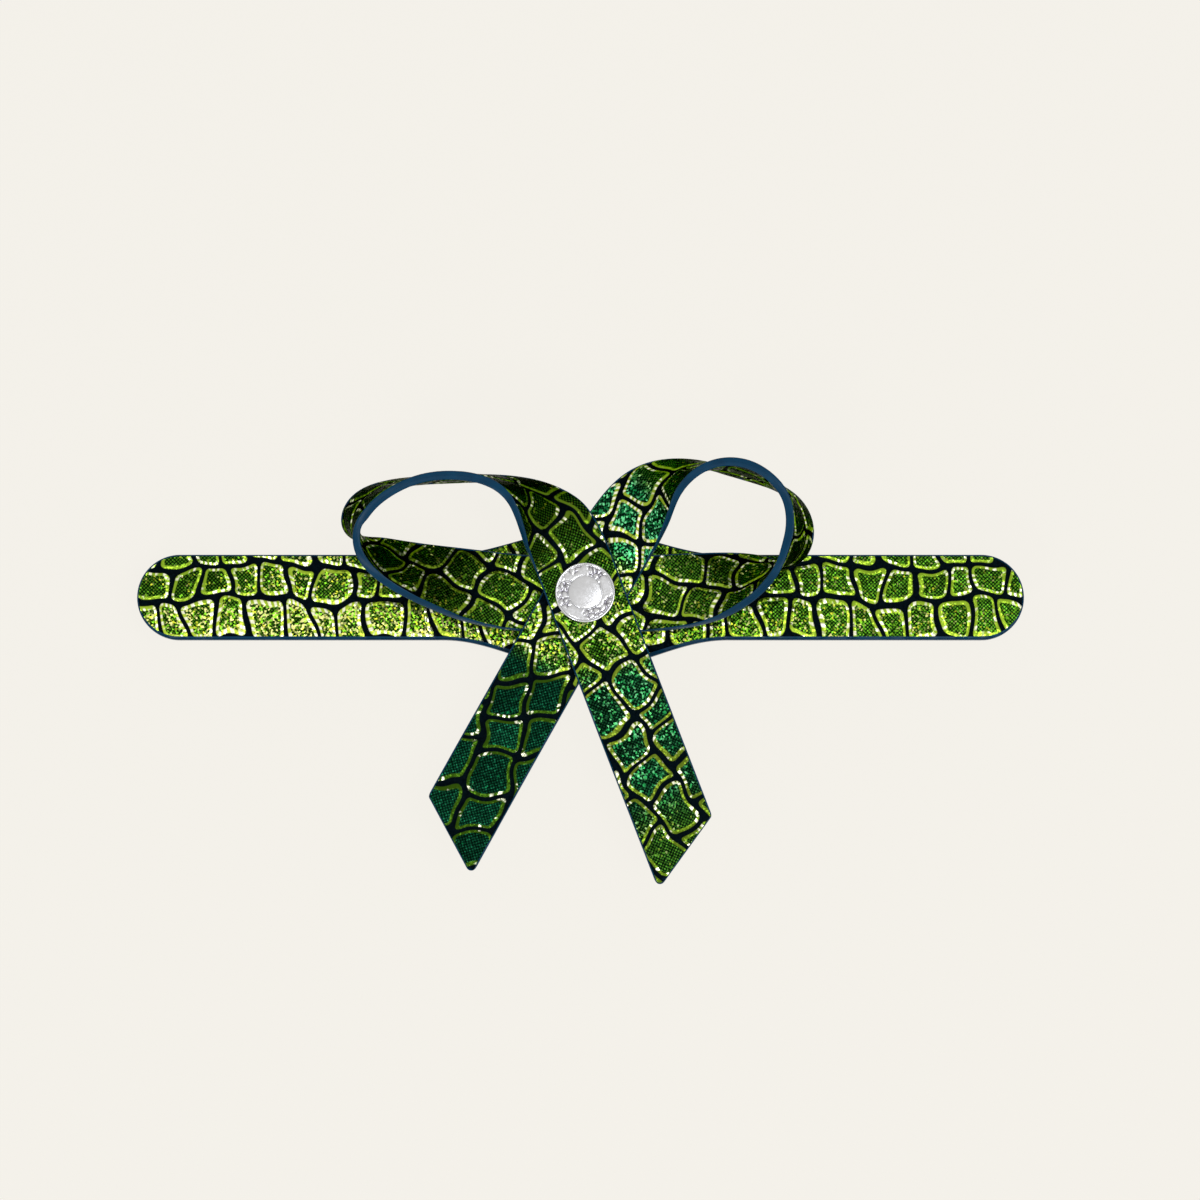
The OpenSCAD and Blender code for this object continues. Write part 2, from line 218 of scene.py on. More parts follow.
def croc_scales(u, v, turn, row_w, pitch, row_shift, seed):
    """How deep each point lies inside its scale and how far along its side, in mm,
    and that scale's own number.

    Rows of scales run along u, turned by turn degrees. Their borders wander, each row
    has its own slant, and the scales' corners are round."""
    table_rows = 64
    table_scales = 512
    stagger = 0.23
    corner = 1.5
    draw = np.random.default_rng(seed)
    phase = draw.uniform(0, 2 * math.pi, 6)
    jitter = draw.uniform(-0.17, 0.17, (table_rows, table_scales))
    slants = draw.uniform(-0.05, 0.3, table_rows)
    numbers = draw.uniform(0, 1, (table_rows, table_scales))
    wander_u = (0.7 * np.sin(u * 0.21 + v * 0.33 + phase[0])
                + 0.5 * np.sin(u * 0.47 - v * 0.51 + phase[1]))
    wander_v = (0.8 * np.sin(u * 0.16 - v * 0.12 + phase[2])
                + 0.45 * np.sin(u * 0.43 + v * 0.3 + phase[3])
                + 0.2 * np.sin(u * 0.95 + phase[4]))
    c = math.cos(math.radians(turn))
    s = math.sin(math.radians(turn))
    along = (u + wander_u) * c + (v + wander_v) * s
    over = (v + wander_v) * c - (u + wander_u) * s + row_shift
    row = np.floor(over / row_w).astype(int)
    in_row = over - row * row_w
    along = (along + slants[row % table_rows] * (in_row - row_w / 2)
             + stagger * pitch * (row % 2))
    first = np.floor(along / pitch).astype(int) - 1
    side_gap = np.full(u.shape, pitch)
    scale = first - 1
    for step in range(4):
        drawn = jitter[row % table_rows, (first + step) % table_scales]
        line = (first + step + drawn) * pitch
        side_gap = np.minimum(side_gap, np.abs(along - line))
        scale = scale + (line <= along)
    end_gap = np.minimum(in_row, row_w - in_row)
    inside = np.minimum(side_gap, end_gap)
    in_corner = (side_gap < corner) & (end_gap < corner)
    rounded = corner - np.hypot(corner - side_gap, corner - end_gap)
    beside = np.where(side_gap < end_gap, in_row, along)
    return (np.where(in_corner, rounded, inside), beside,
            numbers[row % table_rows, scale % table_scales])


def layer_skin(outline, low, rim_low, high, lap=0):
    """A flat leather layer's closed skin in mm: a grid wrapped round its section.

    outline lists, along u, where the rounding starts: u, half width, the edge's
    direction, and how far the end's own rounding has dropped there. The edge paint laps
    over that many rows of the face's grid, along its lower side."""
    widest = max(half for _, half, _, _, _ in outline)
    turns = [math.radians(a) for a in (30, 60, 90)]
    face_up = 0.97
    face_down = -0.9
    section = [(s, 0, high) for s in np.linspace(-1, 1, round(2 * widest / mesh_pitch) + 1)]
    section += [(1, edge_round * math.sin(a), high - edge_round * (1 - math.cos(a)))
                for a in turns]
    section += [(s, edge_round, rim_low) for s in (1, 0.87)]
    section += [(s, edge_round, low) for s in (0.75, 0.25, -0.25, -0.75)]
    section += [(s, edge_round, rim_low) for s in (-0.87, -1)]
    section += [(-1, edge_round * math.sin(a), high - edge_round * (1 - math.cos(a)))
                for a in reversed(turns)]
    section += section[:1]
    rings = len(outline) - 1
    sides = len(section) - 1
    bm = bmesh.new()
    bmesh.ops.create_grid(bm, x_segments=rings, y_segments=sides, size=0.5)
    for face in bm.faces:
        face.material_index = int((face.calc_center_median().y + 0.5) * sides < lap)
    for vert in bm.verts:
        u, half, out_u, out_v, drop = outline[round((vert.co.x + 0.5) * rings)]
        s, out, w = section[round((vert.co.y + 0.5) * sides)]
        vert.co = (u + out_u * out, s * (half + out_v * out - drop), min(w, high - drop))
    bmesh.ops.remove_doubles(bm, verts=bm.verts, dist=weld)
    open_edges = [edge for edge in bm.edges if edge.is_boundary]
    if open_edges:
        bmesh.ops.holes_fill(bm, edges=open_edges, sides=0)
    bmesh.ops.recalc_face_normals(bm, faces=bm.faces)
    for face in bm.faces:
        face.smooth = True
        if face.normal.z < face_down:
            face.material_index = 2
        elif face.normal.z <= face_up:
            face.material_index = 1
    return bm


def add_values(mesh, name, kind, field, values):
    """A value stored at each of a mesh's points, for its material to read."""
    mesh.attributes.new(name, kind, "POINT").data.foreach_set(field, values.ravel())


def leather_piece(name, bm, high, side, pattern, colours, place, materials):
    """A leather layer as a finished object: scales pressed in, then laid in its place.

    side is 1 where the grain faces up and -1 where it faces down. pattern gives the
    scales; colours gives the foil's tint, painted by place for its colour shift with
    angle, and its painted highlight and painted shade; and place turns u, v, height
    into x, y, z."""
    mesh = bpy.data.meshes.new(name)
    bm.to_mesh(mesh)
    bm.free()
    flat = np.empty(len(mesh.vertices) * 3)
    mesh.vertices.foreach_get("co", flat)
    flat = flat.reshape(-1, 3)
    u, v, w = flat.T
    inside, beside, number = pattern(u, v)
    tint, painted_highlight, painted_shade = colours(u, v)
    grain = w > high - weld
    press = groove_depth * (1 - smooth_step(0.2, 0.9, inside))
    crown = crown_depth * (1 - smooth_step(0.8, 2.8, inside))
    w = w - np.where(grain, press + crown, 0)
    add_values(mesh, "flat_mm", "FLOAT_VECTOR", "vector", flat)
    for value_name, values in (("inside", inside), ("beside", beside), ("number", number),
                               ("tint", tint), ("painted_highlight", painted_highlight), ("painted_shade", painted_shade)):
        add_values(mesh, value_name, "FLOAT", "value", values)
    mesh.vertices.foreach_set("co", (place(u, v, side * w) * MM).ravel())
    if side < 0:
        mesh.flip_normals()
    mesh.set_sharp_from_angle(angle=math.radians(50))
    for material in materials:
        mesh.materials.append(material)
    mesh.update()
    return add_object(name, mesh)


# Foiled leather: calf under a metallic foil laminate, printed before it is stamped. Each
# scale's face is dark green with a woven dot print and glitter of a third of a
# millimetre, a lime line with a string of dots runs just inside its border, and the
# grooves are near black. Painted highlight and painted glints brighten flakes, lines and
# dots in places, and painted shade darkens others. The print's real dots are about
# 0.4 mm apart, too fine to show, so they are drawn 0.56 mm apart.
groove_half = 0.42
groove_blur = 0.14
line_end = 1.0
line_blur = 0.18
dot_pitch = 0.56
dot_rim = 0.44
dot_core = 0.18
print_turn = math.radians(45)
flake_size = 0.36
flake_lean = 0.42
drift_size = 5
bead_pitch = 1.2
bead_patch = 3.2

croc_foil = bpy.data.materials.new("croc_foil_leather")
tree = new_tree(croc_foil)
flat, inside, beside, number, tint, painted_highlight, painted_shade = [
    add_node(tree, "ShaderNodeAttribute", {"attribute_name": name})
    for name in ("flat_mm", "inside", "beside", "number", "tint", "painted_highlight", "painted_shade")]

turned = add_node(tree, "ShaderNodeMapping", {}, {"Vector": flat.outputs["Vector"],
                                                  "Rotation": (0, 0, print_turn)})
dots = add_node(tree, "ShaderNodeTexVoronoi", {"voronoi_dimensions": "2D"},
                {"Vector": turned.outputs[0], "Scale": 1 / dot_pitch, "Randomness": 0.15})
dots = add_node(tree, "ShaderNodeMapRange", {}, {"Value": dots.outputs["Distance"],
                                                 "From Min": dot_rim,
                                                 "From Max": dot_core})
flakes = add_node(tree, "ShaderNodeTexVoronoi", {"voronoi_dimensions": "2D"},
                  {"Vector": flat.outputs["Vector"], "Scale": 1 / flake_size})
flake = add_node(tree, "ShaderNodeSeparateColor", {}, {0: flakes.outputs["Color"]})
drift = add_node(tree, "ShaderNodeTexNoise", {"noise_dimensions": "2D"},
                 {"Vector": flat.outputs["Vector"], "Scale": 1 / drift_size,
                  "Detail": 3})

# Painted highlight: where it is strong more flakes take the bright glint colours
reach = add_node(tree, "ShaderNodeMath", {"operation": "MULTIPLY_ADD"},
                 {0: painted_highlight.outputs["Fac"], 1: 0.55, 2: flake.outputs[0]})
reach = add_node(tree, "ShaderNodeMath", {"operation": "MULTIPLY_ADD"},
                 {0: drift.outputs[0], 1: 0.5, 2: reach.outputs[0]})
glint = add_node(tree, "ShaderNodeMapRange", {}, {"Value": reach.outputs[0],
                                                  "From Min": 1.25, "From Max": 1.5})

# The tint paints the foil's colour shift with angle by place along the strap, lime to emerald
dark_fill = add_node(tree, "ShaderNodeMix", {"data_type": "RGBA"},
                     {0: tint.outputs["Fac"], 6: srgb("081A06"), 7: srgb("03170F")})
light_fill = add_node(tree, "ShaderNodeMix", {"data_type": "RGBA"},
                      {0: tint.outputs["Fac"], 6: srgb("4A8419"), 7: srgb("0F4C32")})
fill = add_node(tree, "ShaderNodeMix", {"data_type": "RGBA"},
                {0: dots.outputs[0], 6: dark_fill.outputs[2], 7: light_fill.outputs[2]})
# Painted shade: each scale's own tone is multiplied by the painted shade, darkening the fill in
# the loops and other shaded parts
level = add_node(tree, "ShaderNodeMapRange", {}, {"Value": number.outputs["Fac"],
                                                  "To Min": 0.7, "To Max": 1.2})
level = add_node(tree, "ShaderNodeMath", {"operation": "MULTIPLY"},
                 {0: level.outputs[0], 1: painted_shade.outputs["Fac"]})
fill = add_node(tree, "ShaderNodeMix", {"data_type": "RGBA", "blend_type": "MULTIPLY"},
                {0: 1.0, 6: fill.outputs[2], 7: level.outputs[0]})
gold = add_node(tree, "ShaderNodeMapRange", {}, {"Value": flake.outputs[2],
                                                 "From Min": 0.55, "From Max": 0.8})
lime_spark = add_node(tree, "ShaderNodeMix", {"data_type": "RGBA"},
                      {0: gold.outputs[0], 6: srgb("5E9418"), 7: srgb("969624")})
dim_spark = add_node(tree, "ShaderNodeMix", {"data_type": "RGBA"},
                     {0: tint.outputs["Fac"], 6: lime_spark.outputs[2], 7: srgb("0F8048")})
full_spark = add_node(tree, "ShaderNodeMix", {"data_type": "RGBA"},
                      {0: tint.outputs["Fac"], 6: srgb("F8F49A"), 7: srgb("6CF0A8")})
# Painted glints: the brightest flakes turn pale yellow or mint where the painted highlight is
# strong
hot = add_node(tree, "ShaderNodeMath", {"operation": "MULTIPLY_ADD"},
               {0: painted_highlight.outputs["Fac"], 1: 0.45, 2: flake.outputs[1]})
hot = add_node(tree, "ShaderNodeMapRange", {}, {"Value": hot.outputs[0],
                                                "From Min": 0.86, "From Max": 1.1})
spark = add_node(tree, "ShaderNodeMix", {"data_type": "RGBA"},
                 {0: hot.outputs[0], 6: dim_spark.outputs[2], 7: full_spark.outputs[2]})
fill = add_node(tree, "ShaderNodeMix", {"data_type": "RGBA"},
                {0: glint.outputs[0], 6: fill.outputs[2], 7: spark.outputs[2]})

# The lime line, brighter under the painted highlight, and the dots strung along it, some
# lit near white as painted glints
dim_line = add_node(tree, "ShaderNodeMix", {"data_type": "RGBA"},
                    {0: tint.outputs["Fac"], 6: srgb("7CAA26"), 7: srgb("35560F")})
line = add_node(tree, "ShaderNodeMix", {"data_type": "RGBA"},
                {0: painted_highlight.outputs["Fac"], 6: dim_line.outputs[2], 7: srgb("BCD844")})
# Painted shade darkens the line as well
line = add_node(tree, "ShaderNodeMix", {"data_type": "RGBA", "blend_type": "MULTIPLY"},
                {0: 1.0, 6: line.outputs[2], 7: painted_shade.outputs["Fac"]})
bead_place = add_node(tree, "ShaderNodeMath", {"operation": "MULTIPLY"},
                      {0: beside.outputs["Fac"], 1: 1 / bead_pitch})
bead_place = add_node(tree, "ShaderNodeMath", {"operation": "PINGPONG"},
                      {0: bead_place.outputs[0], 1: 0.5})
bead_place = add_node(tree, "ShaderNodeMapRange", {}, {"Value": bead_place.outputs[0],
                                                       "From Min": 0.2, "From Max": 0.32})
painted_bead_glint = add_node(tree, "ShaderNodeTexNoise", {"noise_dimensions": "2D"},
                    {"Vector": flat.outputs["Vector"], "Scale": 1 / bead_patch, "Detail": 1})
painted_bead_glint = add_node(tree, "ShaderNodeMath", {"operation": "MULTIPLY_ADD"},
                    {0: painted_highlight.outputs["Fac"], 1: 0.33, 2: painted_bead_glint.outputs[0]})
painted_bead_glint = add_node(tree, "ShaderNodeMapRange", {}, {"Value": painted_bead_glint.outputs[0],
                                                     "From Min": 0.63, "From Max": 0.71})
bead = add_node(tree, "ShaderNodeMath", {"operation": "MULTIPLY"},
                {0: bead_place.outputs[0], 1: painted_bead_glint.outputs[0]})
line = add_node(tree, "ShaderNodeMix", {"data_type": "RGBA"},
                {0: bead.outputs[0], 6: line.outputs[2], 7: srgb("FCFFE4")})

on_line = add_node(tree, "ShaderNodeMapRange", {}, {"Value": inside.outputs["Fac"],
                                                    "From Min": groove_half,
                                                    "From Max": groove_half + groove_blur})
on_fill = add_node(tree, "ShaderNodeMapRange", {}, {"Value": inside.outputs["Fac"],
                                                    "From Min": line_end,
                                                    "From Max": line_end + line_blur})
colour = add_node(tree, "ShaderNodeMix", {"data_type": "RGBA"},
                  {0: on_fill.outputs[0], 6: line.outputs[2], 7: fill.outputs[2]})
colour = add_node(tree, "ShaderNodeMix", {"data_type": "RGBA"},
                  {0: on_line.outputs[0], 6: srgb("040B10"), 7: colour.outputs[2]})
rough = add_node(tree, "ShaderNodeMapRange", {}, {"Value": on_line.outputs[0],
                                                  "To Min": 0.5, "To Max": 0.3})

# Each glitter flake lies at its own slight angle, so each catches the light by itself
face = add_node(tree, "ShaderNodeNewGeometry")
lean = add_node(tree, "ShaderNodeVectorMath", {"operation": "SUBTRACT"},
                {0: flakes.outputs["Color"], 1: (0.5, 0.5, 0.5)})
lean = add_node(tree, "ShaderNodeVectorMath", {"operation": "SCALE"},
                {0: lean.outputs[0], "Scale": flake_lean})
lean = add_node(tree, "ShaderNodeVectorMath", {"operation": "ADD"},
                {0: lean.outputs[0], 1: face.outputs["Normal"]})
lean = add_node(tree, "ShaderNodeVectorMath", {"operation": "NORMALIZE"},
                {0: lean.outputs[0]})
leather = add_node(tree, "ShaderNodeBsdfPrincipled", {},
                   {"Base Color": colour.outputs[2], "Metallic": 1.0,
                    "Roughness": rough.outputs[0], "Normal": lean.outputs[0],
                    "Specular Tint": srgb("4A5230")})
add_node(tree, "ShaderNodeOutputMaterial", {}, {"Surface": leather.outputs[0]})

# Edge paint: acrylic leather edge ink, several coats, glossy, with slight waves.
wave_size = 3

edge_paint = bpy.data.materials.new("acrylic_edge_paint")
tree = new_tree(edge_paint)
place = add_node(tree, "ShaderNodeTexCoord")
waves = add_node(tree, "ShaderNodeTexNoise", {}, {"Vector": place.outputs["Object"],
                                                  "Scale": 1 / (wave_size * MM),
                                                  "Detail": 2})
ink = add_node(tree, "ShaderNodeMix", {"data_type": "RGBA"},
               {0: waves.outputs[0], 6: srgb("022C48"), 7: srgb("06466A")})
swell = add_node(tree, "ShaderNodeBump", {}, {"Height": waves.outputs[0],
                                              "Strength": 0.4, "Distance": 0.05 * MM})
paint = add_node(tree, "ShaderNodeBsdfPrincipled", {},
                 {"Base Color": ink.outputs[2], "Roughness": 0.3, "IOR": 1.4,
                  "Specular IOR Level": 0.15, "Normal": swell.outputs[0]})
add_node(tree, "ShaderNodeOutputMaterial", {}, {"Surface": paint.outputs[0]})

# Smooth calf: dyed through. Its real pores are a tenth or two of a millimetre apart, too
# fine to show, so they are drawn half a millimetre apart.
pore_pitch = 0.55
cloud_size = 9

smooth_calf = bpy.data.materials.new("smooth_dyed_calf")
tree = new_tree(smooth_calf)
place = add_node(tree, "ShaderNodeTexCoord")
pores = add_node(tree, "ShaderNodeTexVoronoi", {"feature": "DISTANCE_TO_EDGE"},
                 {"Vector": place.outputs["Object"], "Scale": 1 / (pore_pitch * MM)})
pore_edge = add_node(tree, "ShaderNodeMapRange", {}, {"Value": pores.outputs["Distance"],
                                                      "From Max": 0.12})
clouds = add_node(tree, "ShaderNodeTexNoise", {}, {"Vector": place.outputs["Object"],
                                                   "Scale": 1 / (cloud_size * MM),
                                                   "Detail": 3})
dye = add_node(tree, "ShaderNodeMix", {"data_type": "RGBA"},
               {0: clouds.outputs[0], 6: srgb("0C2E3B"), 7: srgb("194E60")})
dye = add_node(tree, "ShaderNodeMix", {"data_type": "RGBA"},
               {0: pore_edge.outputs[0], 6: srgb("08222D"), 7: dye.outputs[2]})
grain = add_node(tree, "ShaderNodeBump", {}, {"Height": pore_edge.outputs[0],
                                              "Strength": 0.6, "Distance": 0.06 * MM})
calf = add_node(tree, "ShaderNodeBsdfPrincipled", {},
                {"Base Color": dye.outputs[2], "Roughness": 0.52, "IOR": 1.5,
                 "Normal": grain.outputs[0]})
add_node(tree, "ShaderNodeOutputMaterial", {}, {"Surface": calf.outputs[0]})


def swell_at(u):
    """How much of the swelling's height stands past the straight edge at u."""
    return np.where(np.abs(u) < swell_len / 2,
                    (1 + np.cos(2 * math.pi * u / swell_len)) / 2, 0)


def strap_outline():
    """Where the base strap's edge rounding starts, from end to end."""
    nudge = 0.01
    run = strap_len / 2 - strap_half
    end_r = strap_half - edge_round
    count = round(2 * run / mesh_pitch)
    quarter = [(math.sin(math.radians(a)), math.cos(math.radians(a)))
               for a in range(3, 93, 3)]
    points = [(strap_shift - run - end_r * s, end_r * c, -s, c, 0)
              for s, c in reversed(quarter)]
    for i in range(count + 1):
        u = strap_shift - run + 2 * run * i / count
        half = strap_half - edge_round + swell_h * float(swell_at(u))
        rise = float(swell_at(u + nudge) - swell_at(u - nudge))
        slope = swell_h * rise / (2 * nudge)
        length = math.hypot(1, slope)
        points.append((u, half, -slope / length, 1 / length, 0))
    points += [(strap_shift + run + end_r * s, end_r * c, s, c, 0) for s, c in quarter]
    return points


def lie_flat(u, v, w):
    """The base strap stays flat. Its swelling is deeper on the tails' side."""
    swell = swell_at(u)
    deeper = (strap_half + swell_low_h * swell) / (strap_half + swell_h * swell)
    return np.stack([u, np.where(v < 0, v * deeper, v), w], axis=1)


def strap_scales(u, v):
    """Two wide rows of scales and the cut edge of a third one along the top."""
    row_border = -0.4
    low_row_squeeze = 0.74
    stretched = np.where(v < row_border, row_border + low_row_squeeze * (v - row_border), v)
    return croc_scales(u, stretched, turn=0, row_w=7, pitch=6.3, row_shift=-row_border,
                       seed=11)


def strap_colours(u, v):
    """Lime all over, with painted highlight strongest along the lower left, and painted
    shade leaving the top rows a little darker.
    """
    places = [-93, -80, -66, -50, -20, 15, 25, 60, 93]
    low_row = np.interp(u, places, [0.8, 1, 1, 1, 0.8, 0.6, 0.55, 0.55, 0.4])
    top_row = np.interp(u, places, [0.3, 0.3, 0.6, 0.6, 0.4, 0.3, 0.3, 0.3, 0.3])
    low = smooth_step(1, -4, v)
    return 0.05 + 0 * u, top_row + (low_row - top_row) * low, 0.85 + 0.15 * low


strap_front = leather_piece(
    "base_strap_croc",
    layer_skin(strap_outline(), strap_front_z, strap_seam_z + 0.01, strap_top_z, 2),
    strap_top_z, 1, strap_scales, strap_colours, lie_flat,
    (croc_foil, edge_paint, smooth_calf))
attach(strap_front, "base")
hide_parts("base_strap_front")

strap_back = leather_piece(
    "base_strap_calf",
    layer_skin(strap_outline(), -strap_core_z, 0.01 - strap_seam_z, -strap_back_z),
    0, -1, strap_scales, strap_colours, lie_flat,
    (smooth_calf, edge_paint, smooth_calf))
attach(strap_back, "base")
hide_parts("base_strap_back")

# ---------------------------------------------------------------- bow strap
# One long strap of two glued leathers, both stamped and foiled like the base strap,
# with painted edges and slanted ends. It passes the snap three times: under, between
# and over, and its edge stands up towards the viewer round the two loops.
bow_w = 16
bow_half = bow_w / 2
layer_t = 0.95
tail_len = 63
tail_slant = 10.3
corner_r = 1.1
cap_seat_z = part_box("snap_cap")[0][2] / MM
seat_gap = 0.05
pass_gap = 0.4
mid = 2 * layer_t + pass_gap
top = 2 * mid
pass_low = cap_seat_z - seat_gap - layer_t - top

# Guide points from the left tail to the right one: x, y, the lower edge's height over
# the lowest pass, which way the width points in plan, and how steeply it dips.
guides = [
    (-31, -55.5, mid - 1.4, 151, 0), (-20.5, -36.5, mid - 0.6, 151, 0),
    (-10, -18, mid, 151, 0), (0, 0, mid, 151, 0), (4.5, 8, mid, 151, 0),
    (8.5, 14.5, mid - 1.6, 152, 13), (12.5, 20.5, -1, 154, 32),
    (18, 24.8, -2.5, 152, 56), (25.5, 27.2, -2.8, 150, 78),
    (33, 26.4, -2.7, -60, 84), (39.5, 23.5, -2.5, -20, 78),
    (44, 19, -2.6, -8, 73), (45.5, 13, -2.7, -5, 71),
    (43.2, 7.6, -3, -10, 74), (38.5, 4.6, -3, 70, 62),
    (31, 2.5, -2.7, 95, 38), (23, 1, -1.5, 98, 17),
    (13, 0.3, 0, 92, 0), (0, 0, 0, 90, 0), (-13, 0.3, 0, 90, 0),
    (-22, 1.5, -1.4, 86, 12), (-31, 3.5, -2.5, 80, 34),
    (-39.5, 6, -2.8, 78, 50), (-46, 9.3, -3, 80, 66),
    (-49.3, 14, -3, 175, 74), (-47.5, 18.6, -2.4, 140, 66),
    (-42, 22, -2.5, 115, 75), (-34, 24.2, -2.7, 95, 87),
    (-25, 24.6, -2.7, 60, 86), (-17, 23.4, -2.4, 38, 74),
    (-11.2, 20.5, top - 4.9, 28, 54), (-7, 15.5, top - 1.6, 20, 28),
    (-3.8, 10, top - 0.4, 21, 4), (-1.8, 5, top, 21, 0), (0, 0, top, 21, 0),
    (3.5, -9, top, 21, 0), (9, -23.5, top - 0.3, 21, 0),
    (16, -41.5, top - 1.5, 21, 0), (23, -59.5, top - 2.8, 21, 0)]
first_pass = 3
last_pass = 34

azimuths = np.radians([g[3] for g in guides])
dips = np.radians([g[4] for g in guides])
knots = np.column_stack([
    [g[0] for g in guides], [g[1] for g in guides],
    [pass_low + g[2] + bow_half * math.sin(math.radians(g[4])) for g in guides],
    np.cos(dips) * np.cos(azimuths), np.cos(dips) * np.sin(azimuths), -np.sin(dips)])
knots = np.vstack([2 * knots[0] - knots[1], knots, 2 * knots[-1] - knots[-2]])


def path_at(t):
    """Places and width directions on the smooth curve that the guide points pull."""
    i = np.minimum(np.floor(t).astype(int), len(guides) - 2)
    f = (t - i)[:, None]
    return ((1 - f) ** 3 * knots[i] + (3 * f ** 3 - 6 * f ** 2 + 4) * knots[i + 1]
            + (-3 * f ** 3 + 3 * f ** 2 + 3 * f + 1) * knots[i + 2]
            + f ** 3 * knots[i + 3]) / 6


def unit(vectors):
    """The same directions with a length of one."""
    return vectors / np.linalg.norm(vectors, axis=1)[:, None]


steps_between = 32
nudge_t = 0.02
path_t = np.linspace(0, len(guides) - 1, steps_between * (len(guides) - 1) + 1)
path_place = path_at(path_t)[:, :3]
path_along = unit(path_at(np.minimum(path_t + nudge_t, path_t[-1]))[:, :3]
                  - path_at(np.maximum(path_t - nudge_t, 0))[:, :3])
path_raw = path_at(path_t)[:, 3:]
path_across = unit(path_raw - (path_raw * path_along).sum(axis=1)[:, None] * path_along)
path_up = np.cross(path_along, path_across)
path_u = np.concatenate([[0], np.cumsum(np.linalg.norm(np.diff(path_place, axis=0), axis=1))])
path_reach = np.hypot(path_place[:, 0], path_place[:, 1])
tail_mid = tail_len - tail_slant / 2
left = path_t < first_pass
right = path_t > last_pass
end_u = (np.interp(tail_mid, path_reach[left][::-1], path_u[left][::-1]),
         np.interp(tail_mid, path_reach[right], path_u[right]))


def lie_on_path(u, v, w):
    """Bends the flat strap along its path."""
    frames = [np.interp(u, path_u, column)
              for column in np.hstack([path_place, path_across, path_up]).T]
    frames = np.array(frames).T
    return frames[:, :3] + frames[:, 3:6] * v[:, None] + frames[:, 6:] * w[:, None]


def bow_skin():
    """The bow strap's skin, cut off on the slant at both ends, with rounded corners."""
    count = round((end_u[1] - end_u[0]) / mesh_pitch)
    inner = np.linspace(end_u[0] + edge_round, end_u[1] - edge_round, count)
    edge = bow_half - edge_round
    ends = [(edge_round * math.sin(a), edge_round * (1 - math.cos(a)))
            for a in (math.radians(30), math.radians(60), math.radians(90))]
    outline = [(inner[0] - out, edge, 0, 1, drop) for out, drop in reversed(ends)]
    outline += [(u, edge, 0, 1, 0) for u in inner]
    outline += [(inner[-1] + out, edge, 0, 1, drop) for out, drop in ends]
    bm = layer_skin(outline, 0.01, 0.01, layer_t)
    slope = tail_slant / bow_w
    reach = 26
    for vert in bm.verts:
        back = slope * vert.co.y
        for side in (-1, 1):
            point = math.atan2(1, -side * slope)
            start = corner_r / math.tan(point / 2)
            depth = bow_half - side * vert.co.y
            if depth < start * math.sin(point):
                back += (start - math.sqrt(corner_r ** 2 - (corner_r - depth) ** 2)
                         - depth / math.tan(point))
        left = float(smooth_step(end_u[0] + reach, end_u[0], vert.co.x))
        right = float(smooth_step(end_u[1] - reach, end_u[1], vert.co.x))
        vert.co.x += back * (left - right)
    return bm


def bow_scales(u, v):
    """Larger scales than the base strap's, turned a little to the strap."""
    return croc_scales(u, v, turn=17, row_w=8.4, pitch=8.4, row_shift=3.0, seed=5)


def bow_colours(u, v):
    """The foil's tint runs from lime on the loops to emerald on the tails, painting its
    colour shift with angle by place; painted highlight lies in patches, and painted shade
    darkens parts of the loops and the right tail.
    """
    t = np.interp(u, path_u, path_t)
    tint = np.interp(t, [0, 2.08, 2.25, 3.8, 4.3, 6, 6.7, 23, 24, 26, 28, 35.2, 35.6, 37, 37.4],
                     [1, 1, 0.15, 0.2, 0.95, 0.95, 0.2, 0.1, 0.4, 0.4, 0.1, 0.1, 0.9, 0.9, 0.3])
    painted_highlight = np.interp(t, [0, 2.08, 2.25, 3, 4.3, 6, 6.7, 12, 15, 17, 19, 22, 30, 33, 35, 36.5, 38],
                      [0, 0, 0.7, 0.5, 0.9, 0.8, 0.2, 0.3, 0.45, 0.4, 0.35, 0.3, 0.1, 0.2,
                       0.5, 0.45, 0.1])
    painted_shade = np.interp(t, [0, 2.1, 2.3, 6, 7, 12, 15, 19, 22, 24, 28, 30, 33, 34.5, 35.5, 38],
                      [0.85, 0.85, 0.7, 0.8, 0.9, 1.1, 0.85, 0.8, 0.55, 0.8, 0.65, 0.42, 0.5,
                       0.75, 0.6, 0.48])
    return tint, painted_highlight, painted_shade


bow_outer = leather_piece("bow_strap_croc", bow_skin(), layer_t, 1, bow_scales, bow_colours,
                          lie_on_path, (croc_foil, edge_paint, smooth_calf))
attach(bow_outer, "bow")
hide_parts("bow_strap_outer")

bow_inner = leather_piece("bow_strap_inner_croc", bow_skin(), layer_t, -1, bow_scales,
                          bow_colours, lie_on_path, (croc_foil, edge_paint, smooth_calf))
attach(bow_inner, "bow")
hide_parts("bow_strap_lining")

# ---------------------------------------------------------------- snap cap
# The press stud's cap: thin brass sheet drawn into a dish with a rolled rim, a hammered
# ring and a raised plain disc, then nickel plated and polished.
cap_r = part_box("snap_cap")[1][0] / MM
cap_top_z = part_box("snap_cap")[1][2] / MM
disc_r = cap_r * 0.56
disc_rise = 0.3
disc_edge_r = 0.25
rim_r = 0.24
wall = 0.42
ring_z = cap_top_z - disc_rise - 0.28
hollow_z = cap_top_z - disc_rise - 0.6
round_steps = 192

